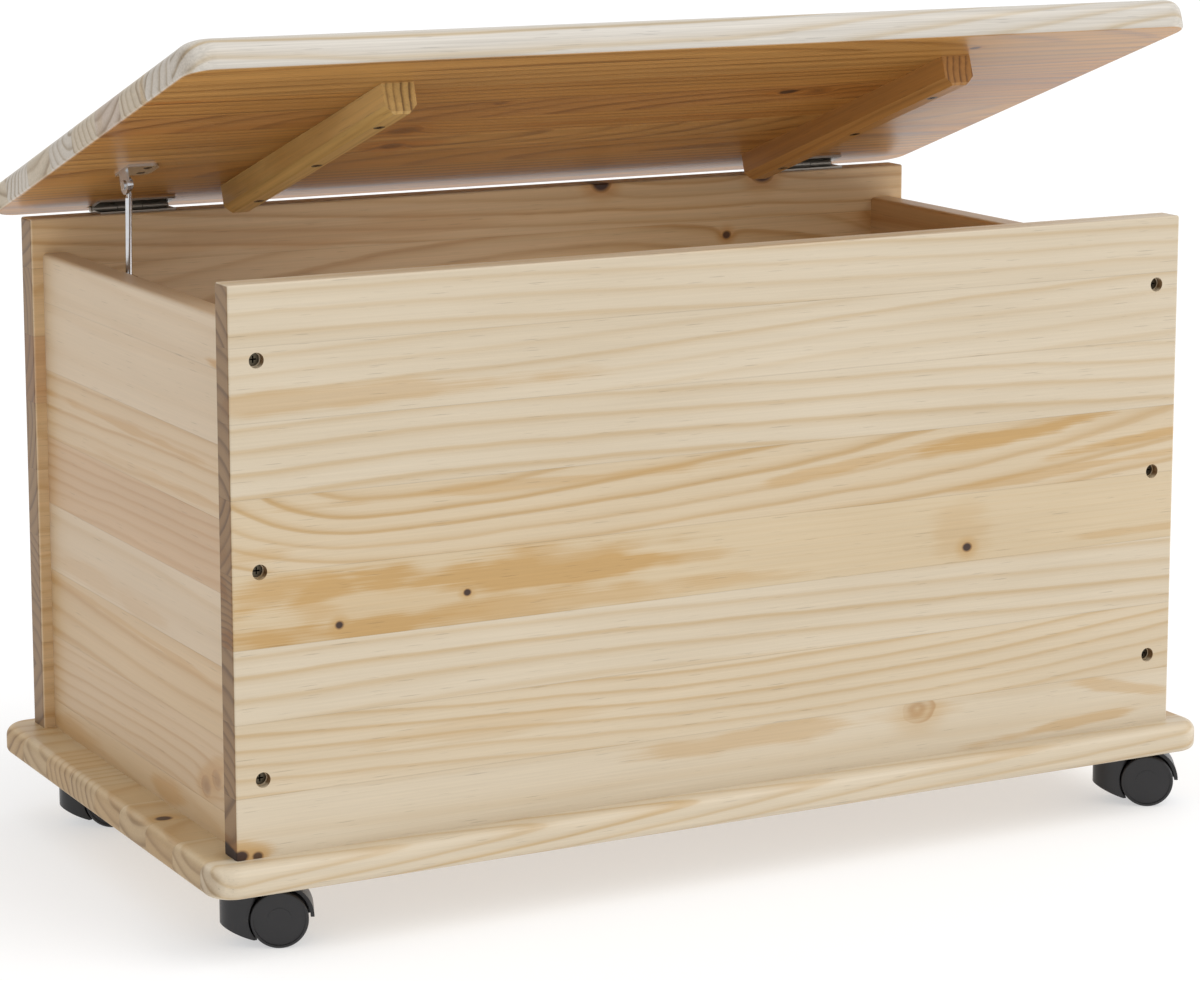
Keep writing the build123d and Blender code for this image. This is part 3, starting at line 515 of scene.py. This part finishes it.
# ---------------------------------------------------------------- boards
def case_boards(look):
    """Give each board of the case its own glued pine."""
    front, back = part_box("front_panel")[0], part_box("back_panel")[0]
    left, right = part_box("left_side_panel")[0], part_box("right_side_panel")
    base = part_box("base_board")[0]
    front_staves = [
        Stave(70, 60, 16, 0.0, 0.0, 0, 0.0, 0.0, 0.25, CREAM),
        Stave(-75, 40, 7.5, 0.0, 0.0, 10, 0.070, 0.0, 0.85, IVORY),
        Stave(-62, 34, 10.5, -0.004, 0.0, -110, -0.030, 0.0, 0.72, CREAM),
        Stave(-150, 20, 4.2, 0.0, 0.0, 0, 0.010, 0.0, 0.12, (0.97, 0.91, 0.80)),
        Stave(48, 34, 8.0, 0.0, -0.185, -250, 0.0, 0.27, 1.0, (0.98, 0.93, 0.85), 45.0),
        Stave(-62, 34, 10.5, -0.004, 0.0, -110, -0.030, 0.0, 0.75, CREAM),
        Stave(-62, 34, 9.5, 0.040, 0.0, 0, 0.0, 0.0, 0.55, CREAM),
        Stave(-52, 40, 9.0, -0.018, 0.0, -100, 0.0, 0.0, 0.60, CREAM),
    ]
    give("front_panel", pine(
        "Front panel pine", look, (0.0, -MM * front.y, -MM * front.z), UNTURNED, "XZY",
        front_staves, 7.0,
        knots=[Knot(-253, 127, 3.0, 1.0), Knot(-174, 137, 2.4, 1.0), Knot(163, 128, 3.6, 1.0),
               Knot(129, 31, 9.0, 0.03), Knot(-314, 2, 4.0, 1.0), Knot(-304, 1, 3.0, 0.9)],
        stains=[Stain(-292, 150, 46, 15, 0.85), Stain(-272, 139, 30, 11, 0.45, -0.3),
                Stain(-280, 124, 100, 7, 0.50),
                Stain(-130, 149, 92, 13, 0.80), Stain(-185, 150, 60, 7, 0.45), Stain(-70, 143, 70, 6, 0.55),
                Stain(-140, 125, 170, 7, 0.55), Stain(-200, 138, 150, 22, 0.22),
                Stain(-225, 256, 150, 7, 0.45),
                Stain(20, 28, 95, 7, 0.50), Stain(200, 195, 95, 5, 1.0, 0.10),
                Stain(285, 184, 75, 4, 0.85, 0.09),
                Stain(110, 190, 90, 3.5, 0.6, 0.11), Stain(-120, 196, 130, 3.5, 0.5),
                Stain(-300, 170, 30, 6, 0.4),
                Stain(250, 170, 90, 3, 0.6, 0.06), Stain(160, 137, 24, 18, 0.32),
                Stain(280, 126, 60, 3, 0.45),
                Stain(-170, 58, 90, 6, 0.22), Stain(250, 8, 80, 3.5, 0.6, 0.07),
                Stain(290, 24, 48, 5, 0.5, -0.2),
                Stain(-312, 4, 16, 9, 0.7)],
        seed=2.0))
    back_staves = mixed_staves(11, 9)
    # Its inner face takes the painted shade of the inside.
    give("back_panel", pine(
        "Back panel pine", look, (0.0, -MM * back.y, -MM * back.z), UNTURNED, "XZY", back_staves,
        3.0,
        knots=[Knot(302, 290, 9.0, 1.0), Knot(176, 281, 3.5, 0.9), Knot(80, 322, 7.0, 1.0),
               Knot(204, 322, 8.0, 1.0),
               Knot(-60, 140, 8.0, 0.6)],
        stains=[Stain(300, 290, 40, 20, 0.5), Stain(-120, 300, 160, 9, 0.3)], seed=5.0, inner_face=0.0,
        painted_shade=look.inside_shade, sheen=0.2, streak=0.28))
    side_staves = [
        Stave(-10, 40, 12, 0.0, -0.10, 60, 0.0, 0.10, 0.6, HONEY),
        Stave(-70, 30, 7.0, -0.012, 0.0, 60, 0.0, 0.0, 0.80, (0.95, 0.88, 0.78)),
        Stave(-80, 36, 13.0, 0.022, 0.0, 60, 0.0, 0.0, 1.0, HONEY),
        Stave(-60, 36, 16.0, 0.012, 0.0, 60, 0.0, 0.0, 0.45, CREAM),
        Stave(-30, 26, 6.0, -0.020, 0.0, 60, 0.0, 0.0, 0.75, BROWNISH),
        Stave(-48, 30, 8.0, -0.016, 0.0, 100, 0.0, 0.0, 1.0, (0.98, 0.93, 0.84)),
        Stave(60, 60, 18.0, 0.0, 0.0, 60, 0.0, 0.0, 0.25, CREAM),
        Stave(-70, 50, 15.0, 0.03, 0.0, 60, 0.0, 0.0, 0.30, CREAM),
    ]
    # Both sides take the painted side shade as their tone.
    give("left_side_panel", pine(
        "Left side pine", look, (-MM * left.x, -MM * left.y + BOARD, -MM * left.z), UNTURNED,
        "YZX",
        side_staves, 24.0,
        knots=[Knot(62, 26, 7.0, 0.22), Knot(46, 34, 6.0, 0.15), Knot(26, 273, 3.0, 0.9)],
        stains=[Stain(120, 8, 30, 8, 0.7), Stain(280, 6, 45, 9, 0.6), Stain(52, 36, 30, 8, 0.5, -0.5),
                Stain(30, 273, 22, 3, 0.9), Stain(200, 214, 160, 3, 0.6), Stain(100, 192, 120, 3, 0.3),
                Stain(240, 110, 110, 7, 0.3),
                Stain(160, 93, 200, 2.5, 0.5, 0.03)], seed=9.0, tone=look.side_shade))
    # Its inner face takes the painted shade of the inside.
    give("right_side_panel", pine(
        "Right side pine", look, (-MM * right[1].x, -MM * right[0].y + BOARD, -MM * right[0].z),
        UNTURNED, "YZX", mixed_staves(23, 8), 10.0,
        knots=[Knot(190, 120, 6.5, 0.8), Knot(80, 240, 4.0, 1.0)],
        stains=[Stain(190, 120, 60, 18, 0.35)], seed=13.0, inner_face=-17.2, painted_shade=look.inside_shade,
        tone=look.side_shade, streak=0.28))
    base_staves = mixed_staves(31, 10)
    base_staves = [base_staves[0]._replace(tint=CREAM)] + [
        stave._replace(tint=(AMBER, (0.90, 0.76, 0.55))[index % 2], line=1.0) for index,
        stave in enumerate(base_staves[1:])]
    give("base_board", pine(
        "Base board pine", look, (0.0, -MM * base.y, -MM * base.z - BOARD), UNTURNED, "XYZ",
        base_staves, 20.0, knots=[Knot(-322, 112, 5.0, 1.0), Knot(120, 210, 9.0, 0.8)], seed=17.0,
        end_share=0.42, streak=0.28))


def lid_boards(look):
    """Give the lid and its battens their pine, turned with the lid."""
    turn = (LID_ANGLE, 0.0, 0.0)
    hinge = Matrix.Rotation(LID_ANGLE, 3, "X") @ HINGE * -MM
    lid_staves = [
        Stave(40, 50, 9, 0.0, 0.03, 0, 0.0, 0.10, 1.0, HONEY),
        Stave(-66, 40, 7, 0.01, 0.0, 0, 0.02, 0.0, 1.0, CREAM),
        Stave(-20, 36, 11, 0.0, -0.06, 100, 0.0, 0.12, 1.0, HONEY),
        Stave(20, 30, 8, 0.0, 0.08, -200, 0.0, 0.10, 1.0, CREAM),
        Stave(64, 34, 7, -0.012, 0.0, -100, 0.02, 0.0, 1.0, HONEY),
        Stave(-24, 30, 9, 0.01, -0.05, 150, 0.0, 0.16, 1.0, PINKISH),
        Stave(58, 30, 8, 0.0, 0.0, 60, -0.02, 0.0, 1.0, HONEY),
        Stave(-60, 44, 10, 0.0, 0.0, 0, 0.02, 0.0, 1.0, CREAM),
        Stave(-30, 44, 9, 0.0, 0.05, 0, 0.0, 0.1, 1.0, CREAM),
    ]
    lid_staves = [stave._replace(across=-stave.across,
                                 lean_across=-stave.lean_across) for stave in lid_staves]
    # Its underside takes the painted shade of the lid.
    give("lid_panel", pine(
        "Lid pine", look, (hinge.x, hinge.y, hinge.z), turn, "XYZ", lid_staves[::-1], 362.0,
        knots=[Knot(-128, -172, 12.0, 0.45), Knot(-119, -128, 9.0, 0.55), Knot(111, -221, 6.5, 1.0),
               Knot(134, -216, 9.0, 0.20), Knot(-92, -230, 5.0, 0.25), Knot(190, -315, 3.5, 0.9)],
        stains=[Stain(-310, -273, 30, 4, 0.8), Stain(60, -166, 150, 9, 0.6), Stain(90, -155, 80, 3, 0.9),
                Stain(-116, -128, 34, 15, 0.8), Stain(-128, -172, 40, 16, 0.5),
                Stain(120, -219, 60, 14, 0.6),
                Stain(-250, -200, 90, 8, 0.4), Stain(230, -180, 80, 8, 0.5)],
        seed=21.0, inner_face=1.5, painted_shade=look.lid_underside_shade, end_share=0.32,
        tone=(0.95, 1.04, 1.24), sheen=0.35, streak=0.60))
    # Painted shade: each batten is tinted all through, the right one darker, for the shade under the lid.
    for name, middle, painted_shade in (("left_batten", -187.5, (1.0, 0.74, 0.33)),
                                  ("right_batten", 187.5, (0.76, 0.43, 0.15))):
        staves = [Stave(90, -14, 4.4, 0.02, 0.0, 100, 0.02, 0.0, 0.55, CREAM)]
        give(name, pine(
            f"{name.replace('_', ' ').capitalize()} pine", look, (hinge.x - middle, hinge.y, hinge.z), turn,
            "YXZ",
            staves, 21.0, seed=25.0 + middle, inner_face=30.0, painted_shade=painted_shade, end_share=0.15, sheen=0.3,
            streak=0.45))


class TOYBOX_OT_case_boards(bpy.types.Operator):
    """Finish the five boards of the case in glued pine"""

    bl_idname = "toybox.case_boards"
    bl_label = "Case Boards"

    def execute(self, context):
        case_boards(context.scene.toy_box_look)
        return {"FINISHED"}


class TOYBOX_OT_lid_boards(bpy.types.Operator):
    """Finish the lid and its two battens in pine"""

    bl_idname = "toybox.lid_boards"
    bl_label = "Lid Boards"

    def execute(self, context):
        lid_boards(context.scene.toy_box_look)
        return {"FINISHED"}


# ---------------------------------------------------------------- castors
def model_wheel(radius, low, high, material):
    """A wheel on the axle line along Y, its plain face at -Y: rim lip, shallow dish and hub cap."""
    wheel = add(bpy.ops.mesh.primitive_cylinder_add, "castor_wheel", vertices=96, radius=radius,
                depth=high - low, location=(0.0, -(low + high) / 2, 0.0), rotation=(math.pi / 2, 0.0, 0.0))
    half = (high - low) / 2
    # In the cylinder's own frame the plain face looks along +Z and the inner face along -Z.
    pick_faces(wheel, lambda normal: normal.z > 0.9)
    bpy.ops.mesh.inset(thickness=0.0017)
    extrude(y=0.0008)
    bpy.ops.mesh.inset(thickness=0.0004)
    bpy.ops.mesh.inset(thickness=0.0070)
    bpy.ops.mesh.inset(thickness=0.0004)
    extrude(y=-0.0002)
    bpy.ops.mesh.inset(thickness=0.0003)
    bpy.ops.mesh.select_mode(type="FACE")
    pick_faces(wheel, lambda normal: normal.z < -0.9)
    bpy.ops.mesh.inset(thickness=0.0025)
    extrude(y=-0.0015)
    bpy.ops.mesh.inset(thickness=0.0070)
    extrude(y=0.0015)
    pick_edges(wheel, lambda a, b: all(math.hypot(end.x, end.y) > radius - 1e-5 for end in (a, b))
               and abs(a.z - b.z) < 1e-6 and abs(abs(a.z) - half) < 1e-5)
    bpy.ops.mesh.bevel(offset=0.0012, segments=4, profile=0.5, affect="EDGES")
    bpy.ops.mesh.select_mode(type="VERT")
    bpy.ops.mesh.select_all(action="SELECT")
    bpy.ops.mesh.normals_make_consistent(inside=False)
    return finished(wheel, material, smooth=35.0)


def castors(look):
    """Model one wheel and set it on both ends of each castor's axle; finish hoods, plates and pins."""
    hood_finish = black_plastic("Castor hood plastic", look)
    wheel_finish = black_plastic("Castor wheel plastic", look, grain=0.9)
    plate_finish = metal("Castor plate steel", (0.05, 0.05, 0.055), 0.45)
    pin_finish = metal("Castor pin steel", (0.55, 0.56, 0.57), 0.30, brushed=0.2)
    low_corner, high_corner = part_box("castor_front_left_outer_wheel")
    radius = (high_corner.z - low_corner.z) / 2
    inner_end, outer_end = 0.00302, 0.01478     # a wheel's two faces, from its castor's middle plane
    hair = 0.00002                              # keeps the modelled wheel just inside the drawn one
    pattern = model_wheel(radius - hair, inner_end, outer_end, wheel_finish)
    for corner in CORNERS:
        swivel = Vector(JOINTS[f"castor_{corner}_swivel"]["pos_m"])
        hub = Vector(JOINTS[f"castor_{corner}_outer_wheel_spin"]["pos_m"])
        turn = math.atan2(hub.y - swivel.y, hub.x - swivel.x)
        for which, half_turn in (("outer", 0.0), ("inner", math.pi)):
            node = f"castor_{corner}_{which}_wheel"
            wheel = copy_to(pattern, f"{node}_moulded",
                            Matrix.Translation((hub.x, hub.y, hub.z)) @ Matrix.Rotation(turn + half_turn, 4,
                                                                                        "Z"))
            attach(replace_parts(wheel, node), node)
        give(f"castor_{corner}_hood", hood_finish)
        give(f"castor_{corner}_plate", plate_finish)
        give(f"castor_{corner}_kingpin", pin_finish)
        give(f"castor_{corner}_axle", pin_finish)
    discard(pattern)


class TOYBOX_OT_castors(bpy.types.Operator):
    """Model the castors' wheels and finish the castors"""

    bl_idname = "toybox.castors"
    bl_label = "Castors"

    def execute(self, context):
        castors(context.scene.toy_box_look)
        return {"FINISHED"}


class TOYBOX_OT_hardware(bpy.types.Operator):
    """Finish the screws, hinges and lid stay"""

    bl_idname = "toybox.hardware"
    bl_label = "Hardware"

    def execute(self, context):
        steel = metal("Bright steel", (0.60, 0.61, 0.62), 0.22, brushed=0.15)
        dark = metal("Dark hinge steel", (0.33, 0.30, 0.26), 0.34)
        screw = metal("Blackened screw steel", (0.10, 0.085, 0.06), 0.34)
        for node in frame["nodes"]:
            if node.endswith(("screws", "screw")):
                give(node, screw)
            elif "hinge" in node:
                give(node, dark)
            elif node.startswith("stay"):
                give(node, steel)
        return {"FINISHED"}


# ---------------------------------------------------------------- stage
def build_stage(look):
    """A white floor that glows a little, light from above, the right and inside the box, and a camera."""
    floor_finish = Finish("Studio floor")
    cloth = floor_finish.noise(floor_finish.place(), detail=2.0, scale=0.004)
    shade = 0.52 + cloth * 0.01
    tone = floor_finish.node("ShaderNodeCombineColor", {},
                             {"Red": shade, "Green": shade, "Blue": shade * 1.005})
    bpy.ops.mesh.primitive_plane_add(size=60.0, location=(0.0, 0.0, 0.0))
    floor = bpy.context.object
    floor.name = "studio_floor"
    floor.data.materials.append(floor_finish.surface(
        Base_Color=tone, Roughness=0.9, Specular_IOR_Level=0.0, Emission_Color=(1.0, 1.0, 1.0, 1.0),
        Emission_Strength=look.floor_glow))

    world = bpy.data.worlds.new("Studio light")
    world.use_nodes = True
    backdrop = world.node_tree.nodes["Background"]
    backdrop.inputs["Color"].default_value = (0.985, 0.99, 1.0, 1.0)
    backdrop.inputs["Strength"].default_value = look.sky_strength
    bpy.context.scene.world = world

    bpy.ops.object.light_add(type="SUN", rotation=(math.radians(38), 0.0, math.radians(40)))
    key = bpy.context.object
    key.name = "Key light"
    key.data.energy = look.key_strength
    key.data.angle = math.radians(40)
    key.data.color = (1.0, 0.985, 0.955)

    aim = Vector((0.28, -0.10, 0.46)) - Vector((0.95, -0.30, 0.03))
    bpy.ops.object.light_add(type="AREA", location=(0.95, -0.30, 0.03),
                             rotation=aim.to_track_quat("-Z", "Y").to_euler())
    side = bpy.context.object
    side.name = "Side light"
    side.data.energy = look.side_strength
    side.data.size = 0.3
    side.visible_camera = False

    aim = Vector((0.0, 0.24, 0.12))
    bpy.ops.object.light_add(type="AREA", location=(0.0, -0.09, 0.27),
                             rotation=aim.to_track_quat("-Z", "Y").to_euler())
    inner = bpy.context.object
    inner.name = "Inner light"
    inner.data.energy = look.inner_strength
    inner.data.shape = "RECTANGLE"
    inner.data.size = 0.36
    inner.data.size_y = 0.12
    inner.visible_camera = False

    yaw, pitch, roll = 0.4883, 0.1693, -0.0006
    bpy.ops.object.camera_add(location=(-1.05288, -1.98378, 0.66621))
    camera = bpy.context.object
    camera.name = "Camera"
    turn = (Matrix.Rotation(-yaw, 4, "Z") @ Matrix.Rotation(math.pi / 2 - pitch, 4, "X")
            @ Matrix.Rotation(roll, 4, "Z"))
    camera.rotation_euler = turn.to_euler()
    camera.data.sensor_width = 36.0
    camera.data.lens = 109.81
    camera.data.shift_y = -0.1
    camera.data.clip_end = 100.0
    bpy.context.scene.camera = camera
    bpy.context.scene.view_settings.view_transform = "Standard"


class TOYBOX_OT_stage(bpy.types.Operator):
    """Add the floor, the studio lights and the camera"""

    bl_idname = "toybox.stage"
    bl_label = "Studio"

    def execute(self, context):
        build_stage(context.scene.toy_box_look)
        return {"FINISHED"}


class TOYBOX_PT_panel(bpy.types.Panel):
    """Sidebar panel that lists the steps"""

    bl_label = "Toy Box"
    bl_idname = "TOYBOX_PT_panel"
    bl_space_type = "VIEW_3D"
    bl_region_type = "UI"
    bl_category = "Toy Box"

    def draw(self, context):
        look = context.scene.toy_box_look
        for name in ToyBoxLook.__annotations__:
            self.layout.prop(look, name)
        for operator in OPERATORS:
            self.layout.operator(operator.bl_idname)


OPERATORS = (TOYBOX_OT_case_boards, TOYBOX_OT_lid_boards, TOYBOX_OT_castors, TOYBOX_OT_hardware,
             TOYBOX_OT_stage)
CLASSES = (ToyBoxLook,) + OPERATORS + (TOYBOX_PT_panel,)


def register():
    for cls in CLASSES:
        bpy.utils.register_class(cls)
    bpy.types.Scene.toy_box_look = bpy.props.PointerProperty(type=ToyBoxLook)


def unregister():
    del bpy.types.Scene.toy_box_look
    for cls in reversed(CLASSES):
        bpy.utils.unregister_class(cls)


def main():
    """Build everything in order."""
    register()
    bpy.ops.toybox.case_boards()
    bpy.ops.toybox.lid_boards()
    bpy.ops.toybox.castors()
    bpy.ops.toybox.hardware()
    bpy.ops.toybox.stage()


if __name__ == "__main__":
    main()
